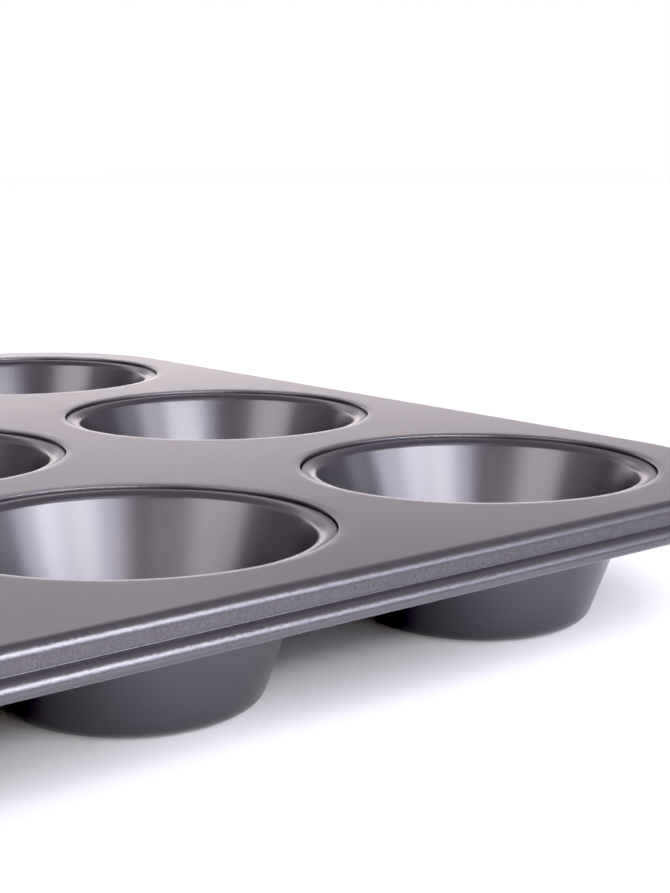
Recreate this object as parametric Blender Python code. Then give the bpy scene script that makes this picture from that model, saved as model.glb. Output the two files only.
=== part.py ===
"""Twelve-cup muffin pan in dark non-stick steel.

A pressed deck carries twelve drawn cups in three rows of four. Each cup's wall
rolls over a broad shoulder at the mouth, a little below the deck, and its outer
leg is folded under and around the foot of a collar in the deck, which locks the
cup in. The deck dips slightly toward every hole. Its outer edge turns down into
a short wall, then out along a narrow flange to a rolled bead.

Units are metres, +Z is up, +X runs along the long side. The origin is the middle
of the pan's footprint, on the plane the cups stand on.
"""

import math

import bmesh
import bpy
from mathutils import Vector

MM = 0.001

# Layout
COLUMNS = 4
ROWS = 3
PITCH_X = 82.0 * MM
PITCH_Y = 84.5 * MM
ROW_NAMES = ("front", "middle", "back")

# Sheet
SHEET = 0.6 * MM
FIT = 0.3 * MM  # gap left between touching pieces

# Deck edge, measured from the foot of its wall
DECK_TOP = 29.9 * MM
FOOT_HALF_X = 123.0 * MM + 46.36 * MM
FOOT_HALF_Y = 84.5 * MM + 48.24 * MM
FOOT_CORNER_R = 45.0 * MM
EASE_R = 5.0 * MM  # first bend of the flat
EASE_TO = math.radians(80.0)
EDGE_R = 1.9 * MM  # second, tighter bend into the wall
WALL = 2.03 * MM
WALL_LEAN = math.radians(7.2)
CREASE_R = 0.12 * MM
FLANGE = 0.6 * MM
FLANGE_SLOPE = math.radians(8.0)
BEAD_R = 1.9 * MM
BEAD_TURN = math.radians(-5.0)  # where the bead tightens into its curl
CURL_R = 0.95 * MM
CURL_END = math.radians(-215.0)

# Hole and collar
HOLE_R = 34.83 * MM
DIP_WIDTH = 1.8 * MM
DIP = 0.10 * MM
HOLE_EDGE = 0.45 * MM  # bevel of the hole
COLLAR_DEPTH = 2.9 * MM

# Cup
CUP_BASE_R = 21.7 * MM  # outer wall carried down to the floor plane
CUP_TAPER = 0.368  # radius gained per unit of height
FOOT_R = 3.8 * MM
THROAT_R = 1.5 * MM  # from the wall into the shoulder at the mouth
SHOULDER_R = 3.2 * MM
SHOULDER_FROM = math.radians(125.0)
RING_BELOW = 0.62 * MM  # the shoulder's crest below the deck
BEND_R = 0.78 * MM  # from the crest down into the outer leg
HEM_TOP = 1.2 * MM  # end of the hem below the deck

CUP_STEPS = 24
CORNER_STEPS = 8


def arc(center, radius, start, end, steps):
    """Points on an arc in a profile plane, both ends included."""
    points = []
    for i in range(steps + 1):
        a = start + (end - start) * i / steps
        points.append((center[0] + radius * math.cos(a), center[1] + radius * math.sin(a)))
    return points


def clear_scene():
    for obj in list(bpy.data.objects):
        bpy.data.objects.remove(obj, do_unlink=True)


def coated_steel(name, color, roughness, metallic):
    material = bpy.data.materials.new(name)
    material.use_nodes = True
    shader = material.node_tree.nodes["Principled BSDF"]
    shader.inputs["Base Color"].default_value = (*color, 1.0)
    shader.inputs["Roughness"].default_value = roughness
    shader.inputs["Metallic"].default_value = metallic
    return material


def finish_mesh(bm, mesh):
    bmesh.ops.recalc_face_normals(bm, faces=bm.faces[:])
    bm.to_mesh(mesh)
    bm.free()
    mesh.shade_smooth()
    mesh.set_sharp_from_angle(angle=math.radians(40.0))


def cup_profile():
    """Half section of a cup, from the middle of its floor round to the middle of its underside."""
    lean = math.atan(CUP_TAPER)
    cos_a = math.cos(lean)

    def wall_outer(z):
        return CUP_BASE_R + CUP_TAPER * z

    def wall_inner(z):
        return wall_outer(z) - SHEET / cos_a

    inner_foot_r = FOOT_R - SHEET
    foot_z = FOOT_R
    foot_x = wall_outer(foot_z) - FOOT_R / cos_a

    crest = DECK_TOP - RING_BELOW
    throat_z = crest - SHOULDER_R + (SHOULDER_R - THROAT_R) * math.sin(SHOULDER_FROM)
    throat = (wall_inner(throat_z) + THROAT_R / cos_a, throat_z)
    shoulder = (throat[0] - (SHOULDER_R - THROAT_R) * math.cos(SHOULDER_FROM), crest - SHOULDER_R)

    leg_outer = HOLE_R - FIT
    bend = (leg_outer - BEND_R, crest - BEND_R)
    collar_out = HOLE_R + SHEET
    hem_inner = collar_out + FIT
    hem_outer = hem_inner + SHEET
    leg_inner = leg_outer - SHEET
    fold_z = DECK_TOP - COLLAR_DEPTH - FIT
    fold_low = fold_z - SHEET
    hem_end = DECK_TOP - HEM_TOP

    points = [(0.0, SHEET)]
    points += arc((foot_x, foot_z), inner_foot_r, -math.pi / 2, -lean, 1)
    points += arc(throat, THROAT_R, math.pi - lean, SHOULDER_FROM, 2)
    points += arc(shoulder, SHOULDER_R, SHOULDER_FROM, math.pi / 2, 2)[1:]
    points += arc(bend, BEND_R, math.pi / 2, 0.0, 2)[1:]
    points += [
        (leg_outer, fold_z),
        (hem_inner, fold_z),
        (hem_inner, hem_end),
        (hem_outer, hem_end),
        (hem_outer, fold_low + 0.5 * MM),
        (hem_outer - 0.5 * MM, fold_low),
        (leg_inner, fold_low),
    ]
    points += arc(bend, BEND_R - SHEET, 0.0, math.pi / 2, 1)[:-1]
    points += arc(shoulder, SHOULDER_R - SHEET, math.pi / 2, SHOULDER_FROM, 2)
    points += arc(throat, THROAT_R - SHEET, SHOULDER_FROM, math.pi - lean, 1)[1:]
    points += arc((foot_x, foot_z), FOOT_R, -lean, -math.pi / 2, 2)
    points += [(0.0, 0.0)]
    return points


def cup_mesh():
    bm = bmesh.new()
    verts = [bm.verts.new((r, 0.0, z)) for r, z in cup_profile()]
    edges = [bm.edges.new(pair) for pair in zip(verts, verts[1:])]
    bmesh.ops.spin(
        bm,
        geom=verts + edges,
        cent=(0.0, 0.0, 0.0),
        axis=(0.0, 0.0, 1.0),
        angle=2.0 * math.pi,
        steps=CUP_STEPS,
        use_merge=True,
    )
    bmesh.ops.remove_doubles(bm, verts=bm.verts[:], dist=0.001 * MM)
    mesh = bpy.data.meshes.new("cup")
    finish_mesh(bm, mesh)
    return mesh


def rim_profile():
    """Section of the deck's edge as (outward, height) from the foot of its wall, height 0 on the flat.

    It runs along the top surface from the flat, down the wall, out over the flange,
    round the bead to the curl's end, and back along the under surface to the flat.
    """
    top, flat = math.pi / 2, math.pi / 2 - FLANGE_SLOPE
    foot_drop = (
        EASE_R * (1 - math.sin(EASE_TO))
        + EDGE_R * (math.sin(EASE_TO) - math.sin(WALL_LEAN))
        + WALL * math.cos(WALL_LEAN)
    )
    wall_top = (-WALL * math.sin(WALL_LEAN), -foot_drop + WALL * math.cos(WALL_LEAN))
    edge_c = (wall_top[0] - EDGE_R * math.cos(WALL_LEAN), wall_top[1] - EDGE_R * math.sin(WALL_LEAN))
    ease_c = (edge_c[0] + (EDGE_R - EASE_R) * math.cos(EASE_TO), -EASE_R)

    # the crease at the wall's foot, sharp above and rounded below the sheet
    back = CREASE_R * math.tan((math.pi / 2 - WALL_LEAN - FLANGE_SLOPE) / 2)
    start = (-back * math.sin(WALL_LEAN), -foot_drop + back * math.cos(WALL_LEAN))
    crease_c = (
        start[0] + CREASE_R * math.cos(WALL_LEAN),
        start[1] + CREASE_R * math.sin(WALL_LEAN),
    )

    bead_start = (FLANGE * math.cos(FLANGE_SLOPE), -foot_drop - FLANGE * math.sin(FLANGE_SLOPE))
    bead_c = (bead_start[0] - BEAD_R * math.cos(flat), bead_start[1] - BEAD_R * math.sin(flat))
    curl_c = (
        bead_c[0] + (BEAD_R - CURL_R) * math.cos(BEAD_TURN),
        bead_c[1] + (BEAD_R - CURL_R) * math.sin(BEAD_TURN),
    )

    points = arc(ease_c, EASE_R, top, EASE_TO, 1)
    points += arc(edge_c, EDGE_R, EASE_TO, WALL_LEAN, 3)[1:]
    points += [(0.0, -foot_drop)]
    points += arc(bead_c, BEAD_R, flat, 0.0, 4)
    points += arc(curl_c, CURL_R, BEAD_TURN, CURL_END, 6)
    points += arc(curl_c, CURL_R - SHEET, CURL_END, BEAD_TURN, 4)
    points += arc(bead_c, BEAD_R - SHEET, BEAD_TURN, flat, 3)[1:]
    points += arc(crease_c, CREASE_R + SHEET, math.pi + flat, math.pi + WALL_LEAN, 2)
    points += arc(edge_c, EDGE_R - SHEET, WALL_LEAN, EASE_TO, 3)
    points += arc(ease_c, EASE_R - SHEET, EASE_TO, top, 1)[1:]
    return points


def collar_profile():
    """(radius, height) from the flat over the dip and the hole's bevel, round the collar, back under the deck."""
    outer = HOLE_R + HOLE_EDGE + DIP_WIDTH
    middle = outer - DIP_WIDTH / 2
    return (
        (outer, DECK_TOP),
        (middle, DECK_TOP - DIP / 4),
        (HOLE_R + HOLE_EDGE, DECK_TOP - DIP),
        (HOLE_R, DECK_TOP - DIP - HOLE_EDGE),
        (HOLE_R, DECK_TOP - COLLAR_DEPTH),
        (HOLE_R + SHEET, DECK_TOP - COLLAR_DEPTH),
        (HOLE_R + SHEET, DECK_TOP - DIP - SHEET),
        (middle, DECK_TOP - DIP / 4 - SHEET),
        (outer, DECK_TOP - SHEET),
    )


def rim_loop(bm, outward, height):
    """A ring of points round the deck at one step of the rim's section."""
    half_x = FOOT_HALF_X + outward
    half_y = FOOT_HALF_Y + outward
    radius = FOOT_CORNER_R + outward
    centers = (
        (half_x - radius, half_y - radius, 0.0),
        (-half_x + radius, half_y - radius, math.pi / 2),
        (-half_x + radius, -half_y + radius, math.pi),
        (half_x - radius, -half_y + radius, 3 * math.pi / 2),
    )
    loop = []
    for cx, cy, start in centers:
        for x, y in arc((cx, cy), radius, start, start + math.pi / 2, CORNER_STEPS):
            loop.append(bm.verts.new((x, y, DECK_TOP + height)))
    return loop


def circle_loop(bm, center, radius, height):
    loop = []
    for i in range(CUP_STEPS):
        a = 2.0 * math.pi * i / CUP_STEPS
        loop.append(
            bm.verts.new(
                (center[0] + radius * math.cos(a), center[1] + radius * math.sin(a), height)
            )
        )
    return loop


def bridge(bm, first, second):
    n = len(first)
    for i in range(n):
        j = (i + 1) % n
        bm.faces.new((first[i], first[j], second[j], second[i]))


def loop_edges(bm, loop):
    return [
        bm.edges.get((a, b)) or bm.edges.new((a, b)) for a, b in zip(loop, loop[1:] + loop[:1])
    ]


def cup_places():
    places = []
    for row in range(ROWS):
        for column in range(COLUMNS):
            x = (column - (COLUMNS - 1) / 2) * PITCH_X
            y = (row - (ROWS - 1) / 2) * PITCH_Y
            places.append((f"cup_{ROW_NAMES[row]}_{column + 1}", (x, y)))
    return places


def deck_mesh():
    bm = bmesh.new()

    rim = [rim_loop(bm, out, height) for out, height in rim_profile()]
    for first, second in zip(rim, rim[1:]):
        bridge(bm, first, second)

    top_edges = loop_edges(bm, rim[0])
    under_edges = loop_edges(bm, rim[-1])
    for _name, center in cup_places():
        collar = [circle_loop(bm, center, r, z) for r, z in collar_profile()]
        for first, second in zip(collar, collar[1:]):
            bridge(bm, first, second)
        top_edges += loop_edges(bm, collar[0])
        under_edges += loop_edges(bm, collar[-1])

    bmesh.ops.triangle_fill(bm, use_beauty=True, edges=top_edges, normal=Vector((0, 0, 1)))
    bmesh.ops.triangle_fill(bm, use_beauty=True, edges=under_edges, normal=Vector((0, 0, -1)))

    mesh = bpy.data.meshes.new("deck")
    finish_mesh(bm, mesh)
    return mesh


def main():
    clear_scene()
    scene = bpy.context.scene

    pan = bpy.data.objects.new("muffin_pan", None)
    scene.collection.objects.link(pan)

    deck_coat = coated_steel("deck_coating", (0.155, 0.150, 0.158), 0.36, 0.75)
    cup_coat = coated_steel("cup_coating", (0.120, 0.117, 0.125), 0.32, 0.75)

    deck = bpy.data.objects.new("deck", deck_mesh())
    deck.data.materials.append(deck_coat)
    deck.parent = pan
    scene.collection.objects.link(deck)

    shared = cup_mesh()
    shared.materials.append(cup_coat)
    for name, (x, y) in cup_places():
        cup = bpy.data.objects.new(name, shared)
        cup.location = (x, y, 0.0)
        cup.parent = pan
        scene.collection.objects.link(cup)


main()
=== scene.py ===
"""Looks of the muffin pan: fine meshes for the deck and the cups, their coating, studio light and camera.

Lengths below are in millimetres until a mesh is made.
"""

import math

import bmesh
import bpy
from mathutils import Matrix, Vector


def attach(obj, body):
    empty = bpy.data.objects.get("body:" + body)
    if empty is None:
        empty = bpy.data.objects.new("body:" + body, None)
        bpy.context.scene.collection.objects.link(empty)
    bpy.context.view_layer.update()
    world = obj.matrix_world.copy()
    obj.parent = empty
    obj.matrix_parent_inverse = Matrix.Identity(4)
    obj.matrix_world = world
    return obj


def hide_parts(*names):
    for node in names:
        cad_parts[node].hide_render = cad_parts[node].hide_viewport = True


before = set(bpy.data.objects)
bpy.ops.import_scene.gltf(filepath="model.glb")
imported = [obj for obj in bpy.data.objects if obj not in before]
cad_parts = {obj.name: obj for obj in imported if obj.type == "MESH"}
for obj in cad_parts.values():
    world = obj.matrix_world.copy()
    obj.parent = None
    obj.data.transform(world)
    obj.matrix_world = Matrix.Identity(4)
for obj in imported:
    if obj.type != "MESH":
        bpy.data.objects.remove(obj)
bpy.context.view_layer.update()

MM = 0.001

# ---------------------------------------------------------------- sizes, as in the CAD

COLUMNS, ROWS = 4, 3
PITCH_X, PITCH_Y = 82.0, 84.5
ROW_NAMES = ("front", "middle", "back")
SHEET = 0.6
FIT = 0.3

DECK_TOP = 29.9
FOOT_HALF_X = 123.0 + 46.36
FOOT_HALF_Y = 84.5 + 48.24
FOOT_CORNER_R = 45.0
EASE_R = 5.0
EASE_TO = math.radians(80.0)
EDGE_R = 1.9
WALL_LEAN = math.radians(7.2)
WALL = 2.03
CREASE_R = 0.12
FLANGE = 0.6
FLANGE_SLOPE = math.radians(8.0)
BEAD_R = 1.9
BEAD_TURN = math.radians(-5.0)
CURL_R = 0.95
CURL_END = math.radians(-215.0)

HOLE_R = 34.83
DIP_WIDTH = 1.8
DIP = 0.10
HOLE_EDGE = 0.16
COLLAR_DEPTH = 2.9

CUP_BASE_R = 21.7
CUP_TAPER = 0.368
FOOT_R = 3.8
THROAT_R = 1.5
SHOULDER_R = 3.2
SHOULDER_FROM = math.radians(125.0)
RING_BELOW = 0.68
BEND_R = 0.50
BEND_IN = 0.04
HEM_TOP = 1.2
SEAT = 0.26

GLOSS = 0.265
DECK_FLAKE_TILT = 0.120
CUP_FLAKE_TILT = 0.012

ROUND_STEPS = 96
CORNER_STEPS = 24


def arc(center, radius, start, end, steps):
    points = []
    for i in range(steps + 1):
        a = start + (end - start) * i / steps
        points.append((center[0] + radius * math.cos(a), center[1] + radius * math.sin(a)))
    return points


def line(start, end, steps, ease=0.35):
    """Points strictly between two ends, with one close to each end so that the shading stays true."""
    length = math.hypot(end[0] - start[0], end[1] - start[1])
    near = min(ease / length, 0.25) if length else 0.25
    shares = [near] + [near + (1 - 2 * near) * i / steps for i in range(1, steps)] + [1 - near]
    return [
        (start[0] + (end[0] - start[0]) * s, start[1] + (end[1] - start[1]) * s) for s in shares
    ]


def chain(*runs, straight=2):
    """Joins runs of points, putting easing points into the straight gaps between them."""
    points = list(runs[0])
    for run in runs[1:]:
        gap = math.hypot(run[0][0] - points[-1][0], run[0][1] - points[-1][1])
        if gap > 1.2:
            points += line(points[-1], run[0], straight)
        points += run
    return points


# ---------------------------------------------------------------- sections


def cup_section():
    lean = math.atan(CUP_TAPER)
    cos_a = math.cos(lean)

    def wall_outer(z):
        return CUP_BASE_R + CUP_TAPER * z

    foot_z = FOOT_R
    foot_x = wall_outer(foot_z) - FOOT_R / cos_a
    crest = DECK_TOP - RING_BELOW
    throat_z = crest - SHOULDER_R + (SHOULDER_R - THROAT_R) * math.sin(SHOULDER_FROM)
    throat = (wall_outer(throat_z) + (THROAT_R - SHEET) / cos_a, throat_z)
    shoulder = (throat[0] - (SHOULDER_R - THROAT_R) * math.cos(SHOULDER_FROM), crest - SHOULDER_R)

    leg_outer = HOLE_R - FIT + SEAT
    bend = (leg_outer - BEND_R, crest - BEND_R)
    bend_in = (leg_outer - SHEET - BEND_IN, crest - SHEET - BEND_IN)
    hem_inner = HOLE_R + SHEET + FIT
    hem_outer = hem_inner + SHEET
    fold_r = (hem_inner - leg_outer) / 2
    fold_x = (hem_inner + leg_outer) / 2
    fold_z = DECK_TOP - COLLAR_DEPTH - FIT + fold_r
    hem_end = DECK_TOP - HEM_TOP
    end_x = (hem_inner + hem_outer) / 2

    inside = chain(
        [(0.0, SHEET), (2.0, SHEET)],
        arc((foot_x, foot_z), FOOT_R - SHEET, -math.pi / 2, -lean, 9),
        arc(throat, THROAT_R, math.pi - lean, SHOULDER_FROM, 9),
        arc(shoulder, SHOULDER_R, SHOULDER_FROM, math.pi / 2, 10)[1:],
        arc(bend, BEND_R, math.pi / 2, 0.0, 10),
        arc((fold_x, fold_z), fold_r, math.pi, 2 * math.pi, 8),
        arc((end_x, hem_end - SHEET / 2), SHEET / 2, math.pi, 0.0, 6),
        arc((fold_x, fold_z), fold_r + SHEET, 0.0, -math.pi, 10),
        arc(bend_in, BEND_IN, 0.0, math.pi / 2, 4),
        arc(shoulder, SHOULDER_R - SHEET, math.pi / 2, SHOULDER_FROM, 8),
        arc(throat, THROAT_R - SHEET, SHOULDER_FROM, math.pi - lean, 7)[1:],
        arc((foot_x, foot_z), FOOT_R, -lean, -math.pi / 2, 10),
        [(2.0, 0.0), (0.0, 0.0)],
        straight=6,
    )
    return inside


def rim_section():
    """Section of the deck's edge as (outward from the wall's foot, height), round the sheet and back."""
    top, flat = math.pi / 2, math.pi / 2 - FLANGE_SLOPE
    foot_drop = (
        EASE_R * (1 - math.sin(EASE_TO))
        + EDGE_R * (math.sin(EASE_TO) - math.sin(WALL_LEAN))
        + WALL * math.cos(WALL_LEAN)
    )
    wall_top = (-WALL * math.sin(WALL_LEAN), -foot_drop + WALL * math.cos(WALL_LEAN))
    edge_c = (wall_top[0] - EDGE_R * math.cos(WALL_LEAN), wall_top[1] - EDGE_R * math.sin(WALL_LEAN))
    ease_c = (edge_c[0] + (EDGE_R - EASE_R) * math.cos(EASE_TO), -EASE_R)

    # the crease at the wall's foot
    turn = math.pi / 2 - WALL_LEAN - FLANGE_SLOPE
    back = CREASE_R * math.tan(turn / 2)
    start = (-back * math.sin(WALL_LEAN), -foot_drop + back * math.cos(WALL_LEAN))
    crease_c = (
        start[0] + CREASE_R * math.cos(WALL_LEAN),
        start[1] + CREASE_R * math.sin(WALL_LEAN),
    )
    fillet_from, fillet_to = math.pi + WALL_LEAN, math.pi + flat

    bead_start = (FLANGE * math.cos(FLANGE_SLOPE), -foot_drop - FLANGE * math.sin(FLANGE_SLOPE))
    bead_c = (bead_start[0] - BEAD_R * math.cos(flat), bead_start[1] - BEAD_R * math.sin(flat))
    curl_c = (
        bead_c[0] + (BEAD_R - CURL_R) * math.cos(BEAD_TURN),
        bead_c[1] + (BEAD_R - CURL_R) * math.sin(BEAD_TURN),
    )
    end_c = (
        curl_c[0] + (CURL_R - SHEET / 2) * math.cos(CURL_END),
        curl_c[1] + (CURL_R - SHEET / 2) * math.sin(CURL_END),
    )
    return chain(
        arc(ease_c, EASE_R, top, EASE_TO, 5),
        arc(edge_c, EDGE_R, EASE_TO, WALL_LEAN, 16)[1:],
        arc(crease_c, CREASE_R, fillet_from, fillet_to, 5),
        arc(bead_c, BEAD_R, flat, BEAD_TURN, 18),
        arc(curl_c, CURL_R, BEAD_TURN, CURL_END, 26)[1:],
        arc(end_c, SHEET / 2, CURL_END, CURL_END - math.pi, 6)[1:-1],
        arc(curl_c, CURL_R - SHEET, CURL_END, BEAD_TURN, 14),
        arc(bead_c, BEAD_R - SHEET, BEAD_TURN, flat, 12)[1:],
        arc(crease_c, CREASE_R + SHEET, fillet_to, fillet_from, 6),
        arc(edge_c, EDGE_R - SHEET, WALL_LEAN, EASE_TO, 10),
        arc(ease_c, EASE_R - SHEET, EASE_TO, top, 4)[1:],
    )


def collar_section():
    """(radius, height) from the flat of the deck, over the hole's edge, down the collar and back under the deck."""
    tip = (HOLE_R + SHEET / 2, DECK_TOP - COLLAR_DEPTH + SHEET / 2)
    under_r = 0.35
    outer = HOLE_R + HOLE_EDGE + DIP_WIDTH
    slope = math.atan(2 * DIP / DIP_WIDTH)
    lead, bevel = 0.12, math.radians(62.0)
    bevel_low = DIP + lead * (1 - math.cos(bevel)) + (HOLE_EDGE - lead * math.sin(bevel)) * math.tan(bevel)

    def dip(share):
        """Height lost on the way from the flat (0) to the hole's edge (1)."""
        return DIP * share * share

    steps = 9
    over = [(outer - DIP_WIDTH * i / steps, DECK_TOP - dip(i / steps)) for i in range(steps)]
    under = [
        (outer - DIP_WIDTH * i / steps, DECK_TOP - SHEET - dip(i / steps)) for i in range(steps)
    ]
    return chain(
        [(outer + 0.25, DECK_TOP)] + over,
        arc(
            (HOLE_R + HOLE_EDGE, DECK_TOP - DIP - lead), lead, math.pi / 2 + slope, math.pi / 2 + bevel, 5
        ),
        [(HOLE_R, DECK_TOP - bevel_low)],
        arc(tip, SHEET / 2, math.pi, 2 * math.pi, 6),
        arc(
            (HOLE_R + SHEET + under_r, DECK_TOP - DIP - SHEET - under_r),
            under_r,
            math.pi,
            math.pi / 2 + slope,
            4,
        ),
        under[::-1] + [(outer + 0.25, DECK_TOP - SHEET)],
        straight=2,
    )


# ---------------------------------------------------------------- meshes


def circle_loop(bm, center, radius, height):
    loop = []
    for i in range(ROUND_STEPS):
        a = 2.0 * math.pi * i / ROUND_STEPS
        loop.append(
            bm.verts.new(
                (
                    (center[0] + radius * math.cos(a)) * MM,
                    (center[1] + radius * math.sin(a)) * MM,
                    height * MM,
                )
            )
        )
    return loop


def rim_loop(bm, outward, height):
    half_x, half_y, radius = FOOT_HALF_X + outward, FOOT_HALF_Y + outward, FOOT_CORNER_R + outward
    loop = []
    for sx, sy, start in ((1, 1, 0.0), (-1, 1, 0.5), (-1, -1, 1.0), (1, -1, 1.5)):
        center = (sx * (half_x - radius), sy * (half_y - radius))
        start *= math.pi
        for x, y in arc(center, radius, start, start + math.pi / 2, CORNER_STEPS):
            loop.append(bm.verts.new((x * MM, y * MM, (DECK_TOP + height) * MM)))
    return loop


def bridge(bm, first, second):
    n = len(first)
    for i in range(n):
        j = (i + 1) % n
        bm.faces.new((first[i], first[j], second[j], second[i]))


def loop_edges(bm, loop):
    return [
        bm.edges.get((a, b)) or bm.edges.new((a, b)) for a, b in zip(loop, loop[1:] + loop[:1])
    ]


def to_object(bm, name, sharp=32.0):
    bmesh.ops.recalc_face_normals(bm, faces=bm.faces[:])
    mesh = bpy.data.meshes.new(name)
    bm.to_mesh(mesh)
    bm.free()
    mesh.shade_smooth()
    mesh.set_sharp_from_angle(angle=math.radians(sharp))
    obj = bpy.data.objects.new(name, mesh)
    bpy.context.scene.collection.objects.link(obj)
    return obj


def make_cup(name, center):
    bm = bmesh.new()
    section = cup_section()
    top = bm.verts.new((center[0] * MM, center[1] * MM, section[0][1] * MM))
    low = bm.verts.new((center[0] * MM, center[1] * MM, section[-1][1] * MM))
    loops = [circle_loop(bm, center, r, z) for r, z in section[1:-1]]
    for first, second in zip(loops, loops[1:]):
        bridge(bm, first, second)
    for pole, loop in ((top, loops[0]), (low, loops[-1])):
        for i in range(ROUND_STEPS):
            bm.faces.new((pole, loop[i], loop[(i + 1) % ROUND_STEPS]))
    return to_object(bm, name)


def make_deck(name, centers):
    bm = bmesh.new()
    section = rim_section()
    inset = (section[0][0] - 0.35, section[0][1])
    inset_low = (section[-1][0] - 0.35, section[-1][1])
    rim = [rim_loop(bm, out, height) for out, height in [inset] + section + [inset_low]]
    for first, second in zip(rim, rim[1:]):
        bridge(bm, first, second)
    top_edges = loop_edges(bm, rim[0])
    under_edges = loop_edges(bm, rim[-1])
    for center in centers:
        collar = [circle_loop(bm, center, r, z) for r, z in collar_section()]
        for first, second in zip(collar, collar[1:]):
            bridge(bm, first, second)
        top_edges += loop_edges(bm, collar[0])
        under_edges += loop_edges(bm, collar[-1])
    bmesh.ops.triangle_fill(bm, use_beauty=True, edges=top_edges, normal=Vector((0, 0, 1)))
    bmesh.ops.triangle_fill(bm, use_beauty=True, edges=under_edges, normal=Vector((0, 0, -1)))
    return to_object(bm, name)


# ---------------------------------------------------------------- coating


def coating(name, tint, seed, tilt_by, outside_painted_light=None):
    """Satin dark non-stick coating.

    Fine metal flake at slightly different tilts gives grain in the highlights only, and less of it
    where the wet coat lay flat. Over it lie an orange peel, a slow waviness of the drawn sheet, slow
    changes of tone, a few pale specks and faint rubbed streaks.
    """
    material = bpy.data.materials.new(name)
    material.use_nodes = True
    nodes, links = material.node_tree.nodes, material.node_tree.links
    shader = nodes["Principled BSDF"]

    def add(kind, **values):
        node = nodes.new(kind)
        for key, value in values.items():
            if key in node.inputs:
                node.inputs[key].default_value = value
            else:
                setattr(node, key, value)
        return node

    def ramp(source, low, high, to_low, to_high, smooth=False):
        node = add("ShaderNodeMapRange", clamp=True)
        if smooth:
            node.interpolation_type = "SMOOTHSTEP"
        node.inputs["From Min"].default_value = low
        node.inputs["From Max"].default_value = high
        node.inputs["To Min"].default_value = to_low
        node.inputs["To Max"].default_value = to_high
        links.new(source, node.inputs["Value"])
        return node.outputs["Result"]

    def math_node(operation, first, second):
        node = add("ShaderNodeMath", operation=operation)
        for slot, value in zip(node.inputs, (first, second)):
            if isinstance(value, float):
                slot.default_value = value
            else:
                links.new(value, slot)
        return node.outputs["Value"]

    def lighten(color, amount, toward):
        node = add("ShaderNodeMixRGB", blend_type="MIX")
        node.inputs["Color2"].default_value = (*toward, 1.0)
        links.new(amount, node.inputs["Fac"])
        links.new(color, node.inputs["Color1"])
        return node.outputs["Color"]

    where = add("ShaderNodeTexCoord")
    place = add("ShaderNodeMapping")
    place.inputs["Location"].default_value = (seed, seed * 0.7, -seed * 0.4)
    links.new(where.outputs["Object"], place.inputs["Vector"])

    def noise(scale, detail, roughness, vector=None):
        node = add("ShaderNodeTexNoise", Scale=scale, Detail=detail, Roughness=roughness)
        links.new(vector or place.outputs["Vector"], node.inputs["Vector"])
        return node.outputs["Fac"]

    slow = noise(22.0, 3.0, 0.55)
    wave = noise(70.0, 1.0, 0.4)
    mottle = noise(900.0, 2.0, 0.6)

    # flake, about a sixth of a millimetre across
    flake = add("ShaderNodeTexVoronoi", Scale=6200.0, Randomness=1.0)
    links.new(place.outputs["Vector"], flake.inputs["Vector"])
    split = add("ShaderNodeSeparateColor")
    links.new(flake.outputs["Color"], split.inputs["Color"])

    # pale specks, a tenth of a millimetre across, here and there
    speck = add("ShaderNodeTexVoronoi", Scale=420.0, Randomness=1.0)
    links.new(place.outputs["Vector"], speck.inputs["Vector"])
    speck_split = add("ShaderNodeSeparateColor")
    links.new(speck.outputs["Color"], speck_split.inputs["Color"])
    speck_here = math_node(
        "MULTIPLY",
        ramp(speck_split.outputs["Red"], 0.985, 0.986, 0.0, 1.0),
        ramp(speck.outputs["Distance"], 0.03, 0.055, 1.0, 0.0),
    )

    where_faces = add("ShaderNodeSeparateXYZ")
    links.new(where.outputs["Normal"], where_faces.inputs["Vector"])
    upward = math_node("ABSOLUTE", where_faces.outputs["Z"], 0.0)

    # rubbed streaks, long one way and thin the other, where a second noise lets them through;
    # the flat sheet has next to none
    stretch = add("ShaderNodeMapping")
    stretch.inputs["Rotation"].default_value = (0.0, 0.0, 0.6)
    stretch.inputs["Scale"].default_value = (60.0, 1500.0, 400.0)
    links.new(place.outputs["Vector"], stretch.inputs["Vector"])
    streak = math_node(
        "MULTIPLY",
        ramp(noise(1.0, 1.0, 0.5, stretch.outputs["Vector"]), 0.70, 0.78, 0.0, 1.0, True),
        ramp(noise(45.0, 1.0, 0.5), 0.58, 0.68, 0.0, 1.0, True),
    )
    streak = math_node("MULTIPLY", streak, ramp(upward, 0.80, 0.97, 1.0, 0.0, True))

    tone = add("ShaderNodeMixRGB", blend_type="MIX")
    tone.inputs["Color1"].default_value = (*[c * 0.95 for c in tint], 1.0)
    tone.inputs["Color2"].default_value = (*[c * 1.05 for c in tint], 1.0)
    links.new(slow, tone.inputs["Fac"])
    # painted light: the outside of a cup leans down and is painted lighter and bluer, standing in for the bluish
    # light reflected on it; it also carries a more metallic coat
    metal = 0.75
    color = tone.outputs["Color"]
    if outside_painted_light:
        outside = ramp(where_faces.outputs["Z"], -0.25, -0.12, 1.0, 0.0, True)
        color = lighten(color, outside, outside_painted_light)
        metal = ramp(outside, 0.0, 1.0, 0.75, 1.0)
    color = lighten(
        color, ramp(split.outputs["Red"], 0.80, 1.0, 0.0, 0.025), (0.34, 0.33, 0.35)
    )
    color = lighten(color, math_node("MULTIPLY", streak, 0.02), (0.36, 0.35, 0.36))
    color = lighten(color, math_node("MULTIPLY", speck_here, 0.30), (0.42, 0.41, 0.43))
    links.new(color, shader.inputs["Base Color"])

    gloss = ramp(slow, 0.3, 0.7, GLOSS - 0.010, GLOSS + 0.005)
    gloss = math_node("ADD", gloss, ramp(mottle, 0.3, 0.7, -0.002, 0.002))
    gloss = math_node("ADD", gloss, math_node("MULTIPLY", streak, 0.02))
    links.new(gloss, shader.inputs["Roughness"])

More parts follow.
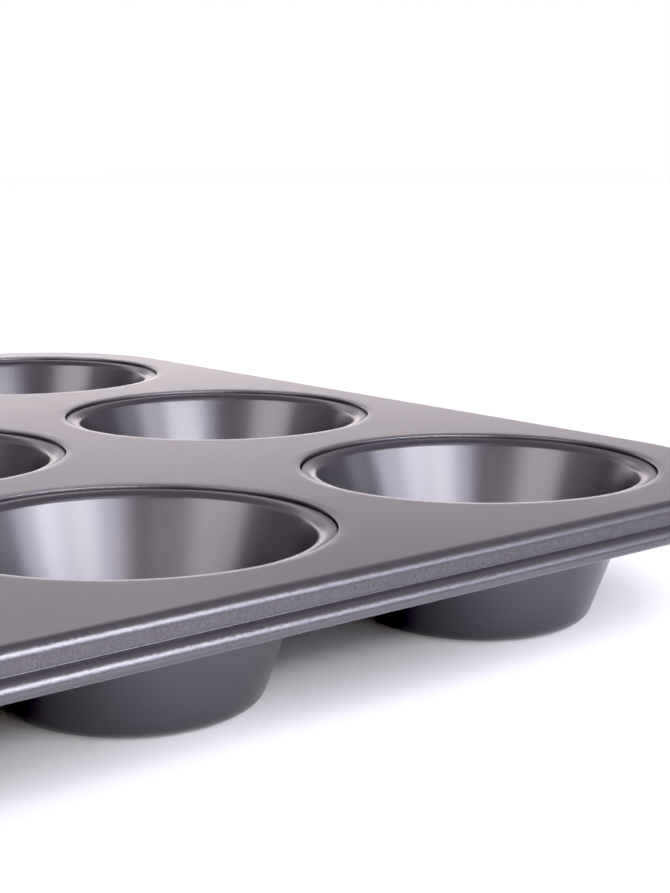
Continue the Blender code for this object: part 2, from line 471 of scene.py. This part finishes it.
    # waviness of the sheet, then orange peel, then the tilt of every flake
    drawn = add("ShaderNodeBump", Strength=0.18, Distance=0.00004)
    links.new(wave, drawn.inputs["Height"])
    peel = add("ShaderNodeBump", Strength=0.03, Distance=0.00003)
    links.new(mottle, peel.inputs["Height"])
    links.new(drawn.outputs["Normal"], peel.inputs["Normal"])
    lean = add("ShaderNodeVectorMath", operation="MULTIPLY_ADD")
    lean.inputs[1].default_value = (tilt_by, tilt_by, tilt_by)
    lean.inputs[2].default_value = (-tilt_by / 2, -tilt_by / 2, -tilt_by / 2)
    links.new(flake.outputs["Color"], lean.inputs[0])
    tilt = add("ShaderNodeVectorMath", operation="ADD")
    links.new(peel.outputs["Normal"], tilt.inputs[0])
    spread = add("ShaderNodeVectorMath", operation="SCALE")
    links.new(lean.outputs["Vector"], spread.inputs["Vector"])
    links.new(ramp(upward, 0.88, 0.99, 1.0, 0.02, True), spread.inputs["Scale"])
    links.new(spread.outputs["Vector"], tilt.inputs[1])
    unit = add("ShaderNodeVectorMath", operation="NORMALIZE")
    links.new(tilt.outputs["Vector"], unit.inputs[0])
    links.new(unit.outputs["Vector"], shader.inputs["Normal"])

    if outside_painted_light:
        links.new(metal, shader.inputs["Metallic"])
    else:
        shader.inputs["Metallic"].default_value = metal
    shader.inputs["IOR"].default_value = 1.5
    return material


# ---------------------------------------------------------------- the object

places = []
for row in range(ROWS):
    for column in range(COLUMNS):
        x = (column - (COLUMNS - 1) / 2) * PITCH_X
        y = (row - (ROWS - 1) / 2) * PITCH_Y
        places.append((f"cup_{ROW_NAMES[row]}_{column + 1}", (x, y)))

deck_coat = coating("deck_coating", (0.099, 0.0925, 0.0995), 0.0, DECK_FLAKE_TILT)
# the last colour is painted light: the cups' outside is painted lighter and bluer than the coat, in place of light
# reflected there
cup_coat = coating("cup_coating", (0.099, 0.0925, 0.0995), 3.1, CUP_FLAKE_TILT, (0.134, 0.130, 0.139))

deck = make_deck("deck_sheet", [center for _name, center in places])
deck.data.materials.append(deck_coat)
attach(deck, "root")
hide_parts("deck")

for name, center in places:
    cup = make_cup(name.replace("cup_", "drawn_cup_"), center)
    cup.data.materials.append(cup_coat)
    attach(cup, "root")
    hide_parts(name)

# ---------------------------------------------------------------- floor

floor_mesh = bpy.data.meshes.new("floor")
bm = bmesh.new()
bmesh.ops.create_grid(bm, x_segments=2, y_segments=2, size=2.4)
bm.to_mesh(floor_mesh)
bm.free()
floor = bpy.data.objects.new("floor", floor_mesh)
bpy.context.scene.collection.objects.link(floor)
floor.location = (0.0, 0.0, -0.0002)
floor_coat = bpy.data.materials.new("floor_white")
floor_coat.use_nodes = True
floor_shader = floor_coat.node_tree.nodes["Principled BSDF"]
floor_shader.inputs["Base Color"].default_value = (0.86, 0.85, 0.875, 1.0)
floor_shader.inputs["Roughness"].default_value = 0.9
floor_shader.inputs["Specular IOR Level"].default_value = 0.1
# painted light: the floor glows by itself outside the pan's outline, so it runs out to plain white; a weaker glow,
# rising from 52 to 38 mm inside the outline, paints light into the pan's shadow under its edge
floor_nodes, floor_links = floor_coat.node_tree.nodes, floor_coat.node_tree.links
GLOW_CORNER = 0.070
GLOW_FROM, GLOW_TO, GLOW = 0.03, 0.30, 0.45  # metres beyond the outline, strength
NEAR_FROM, NEAR_TO, NEAR_GLOW = -0.052, -0.038, 0.125


def floor_vector(operation, vector, other=None):
    node = floor_nodes.new("ShaderNodeVectorMath")
    node.operation = operation
    floor_links.new(vector, node.inputs[0])
    if other is not None:
        node.inputs[1].default_value = other
    return node


floor_where = floor_nodes.new("ShaderNodeTexCoord")
floor_fold = floor_vector("ABSOLUTE", floor_where.outputs["Object"])
floor_beyond = floor_vector(
    "SUBTRACT",
    floor_fold.outputs["Vector"],
    (FOOT_HALF_X * MM - GLOW_CORNER, FOOT_HALF_Y * MM - GLOW_CORNER, 0.0),
)
floor_beyond = floor_vector("MAXIMUM", floor_beyond.outputs["Vector"], (0.0, 0.0, 0.0))
floor_beyond = floor_vector("MULTIPLY", floor_beyond.outputs["Vector"], (1.0, 1.0, 0.0))
floor_beyond = floor_vector("LENGTH", floor_beyond.outputs["Vector"])
floor_glow = floor_nodes.new("ShaderNodeMapRange")
floor_glow.interpolation_type = "SMOOTHSTEP"
floor_glow.inputs["From Min"].default_value = GLOW_CORNER + GLOW_FROM
floor_glow.inputs["From Max"].default_value = GLOW_CORNER + GLOW_TO
floor_glow.inputs["To Min"].default_value = 0.0
floor_glow.inputs["To Max"].default_value = GLOW
floor_links.new(floor_beyond.outputs["Value"], floor_glow.inputs["Value"])
# painted light in the pan's shadow under its edge
floor_near = floor_nodes.new("ShaderNodeMapRange")
floor_near.interpolation_type = "SMOOTHSTEP"
floor_near.inputs["From Min"].default_value = GLOW_CORNER + NEAR_FROM
floor_near.inputs["From Max"].default_value = GLOW_CORNER + NEAR_TO
floor_near.inputs["To Min"].default_value = 0.0
floor_near.inputs["To Max"].default_value = NEAR_GLOW
floor_links.new(floor_beyond.outputs["Value"], floor_near.inputs["Value"])
floor_sum = floor_nodes.new("ShaderNodeMath")
floor_links.new(floor_glow.outputs["Result"], floor_sum.inputs[0])
floor_links.new(floor_near.outputs["Result"], floor_sum.inputs[1])
floor_links.new(floor_sum.outputs["Value"], floor_shader.inputs["Emission Strength"])
floor_shader.inputs["Emission Color"].default_value = (1.0, 1.0, 1.0, 1.0)
floor_mesh.materials.append(floor_coat)

# ---------------------------------------------------------------- light


def softbox(name, azimuth, elevation, distance, width, height, radiance, color, aim):
    """A rectangular soft light; angles in degrees, azimuth from +X towards +Y, width and height as seen from its aim."""
    size = 2 * distance * math.tan(math.radians(width / 2))
    size_y = 2 * distance * math.tan(math.radians(height / 2))
    light = bpy.data.lights.new(name, "AREA")
    light.shape = "RECTANGLE"
    light.size = size
    light.size_y = size_y
    light.energy = math.pi * size * size_y * radiance
    light.color = color
    a, e = math.radians(azimuth), math.radians(elevation)
    away = Vector((math.cos(a) * math.cos(e), math.sin(a) * math.cos(e), math.sin(e)))
    obj = bpy.data.objects.new(name, light)
    obj.location = Vector(aim) + away * distance
    obj.rotation_euler = away.to_track_quat("Z", "Y").to_euler()
    obj.visible_camera = False
    bpy.context.scene.collection.objects.link(obj)
    return obj


NEAR, MID = (0.0, -0.08, 0.02), (0.06, -0.05, 0.02)
LIGHTS = (
    # name, azimuth, elevation, distance, width, height, radiance, colour, aim
    ("key_low_left", 243.0, 15.0, 0.42, 32.0, 12.0, 7.3, (1.09, 1.02, 0.89), NEAR),
    ("key_low", 270.5, 15.0, 0.42, 22.0, 12.0, 3.2, (1.02, 1.00, 0.98), NEAR),
    ("key_low_right", 303.5, 15.0, 0.42, 42.0, 12.0, 3.6, (0.85, 0.94, 1.22), NEAR),
    ("key_left", 256.0, 33.0, 0.42, 18.0, 24.0, 4.5, (0.92, 0.94, 1.13), NEAR),
    ("key", 276.0, 33.0, 0.42, 18.0, 24.0, 9.3, (0.96, 0.99, 1.06), NEAR),
    ("key_right", 298.0, 31.0, 0.42, 18.0, 22.0, 9.2, (0.95, 0.99, 1.06), NEAR),
    ("key_far", 302.0, 28.0, 1.20, 12.0, 18.0, 3.7, (0.99, 0.99, 1.02), NEAR),
    ("key_far_right", 314.0, 28.0, 1.20, 12.0, 18.0, 4.6, (0.94, 0.99, 1.06), NEAR),
    ("left", 173.0, 31.0, 0.70, 36.0, 28.0, 3.9, (1.02, 0.99, 1.00), MID),
    ("left_mid", 207.0, 25.0, 0.70, 28.0, 12.0, 2.0, (0.99, 0.97, 1.05), MID),
    ("right", -27.0, 20.0, 0.80, 17.0, 28.0, 1.3, (0.90, 0.99, 1.11), MID),
    ("left_back", 127.0, 32.0, 0.70, 36.0, 26.0, 0.42, (1.01, 1.03, 0.96), MID),
    ("top_front", 270.0, 66.0, 1.20, 44.0, 16.0, 1.8, (0.85, 1.01, 1.14), MID),
    ("backdrop_low", 59.0, 4.5, 2.20, 48.0, 7.0, 2.8, (1.06, 0.97, 0.97), MID),
    ("backdrop_side", 87.0, 10.0, 2.20, 20.0, 20.0, 1.3, (1.00, 1.00, 1.00), MID),
    ("backdrop_high", 75.0, 26.0, 2.20, 44.0, 9.0, 1.2, (1.04, 0.97, 0.99), MID),
)
for values in LIGHTS:
    softbox(*values)

world = bpy.data.worlds.new("studio")
bpy.context.scene.world = world
world.use_nodes = True
wn, wl = world.node_tree.nodes, world.node_tree.links
wn.clear()
seen = wn.new("ShaderNodeBackground")
seen.inputs["Color"].default_value = (1.0, 1.0, 1.0, 1.0)
seen.inputs["Strength"].default_value = 1.0
fill = wn.new("ShaderNodeBackground")
fill.inputs["Color"].default_value = (1.02, 0.92, 1.07, 1.0)
fill.inputs["Strength"].default_value = 0.51
path = wn.new("ShaderNodeLightPath")
both = wn.new("ShaderNodeMixShader")
out = wn.new("ShaderNodeOutputWorld")
wl.new(path.outputs["Is Camera Ray"], both.inputs["Fac"])
wl.new(fill.outputs["Background"], both.inputs[1])
wl.new(seen.outputs["Background"], both.inputs[2])
wl.new(both.outputs["Shader"], out.inputs["Surface"])

# ---------------------------------------------------------------- camera

YAW, PITCH, ROLL = math.radians(40.73), math.radians(10.336), math.radians(-0.093)
FOCAL_PX = 1789.5
forward = Vector((math.sin(YAW) * math.cos(PITCH), math.cos(YAW) * math.cos(PITCH), -math.sin(PITCH)))
right = Vector((math.cos(YAW), -math.sin(YAW), 0.0))
up = right.cross(forward)
cam_x = right * math.cos(ROLL) + up * math.sin(ROLL)
cam_y = up * math.cos(ROLL) - right * math.sin(ROLL)
camera_data = bpy.data.cameras.new("camera")
camera_data.sensor_width = 36.0
camera_data.lens = FOCAL_PX * 36.0 / 893.0
camera_data.clip_start = 0.01
camera = bpy.data.objects.new("camera", camera_data)
bpy.context.scene.collection.objects.link(camera)
turn = Matrix((cam_x, cam_y, -forward)).transposed()
camera.matrix_world = Matrix.Translation((-0.12271, -0.32705, 0.09634)) @ turn.to_4x4()
bpy.context.scene.camera = camera

bpy.context.scene.view_settings.view_transform = "Standard"
bpy.context.scene.view_settings.look = "None"
# the photograph's deepest shadows are printed down to black
BLACK = 0.027
levels = bpy.context.scene.view_settings
levels.use_curve_mapping = True
levels.curve_mapping.black_level = (BLACK, BLACK, BLACK)
levels.curve_mapping.white_level = (1.0, 1.0, 1.0)
levels.curve_mapping.update()
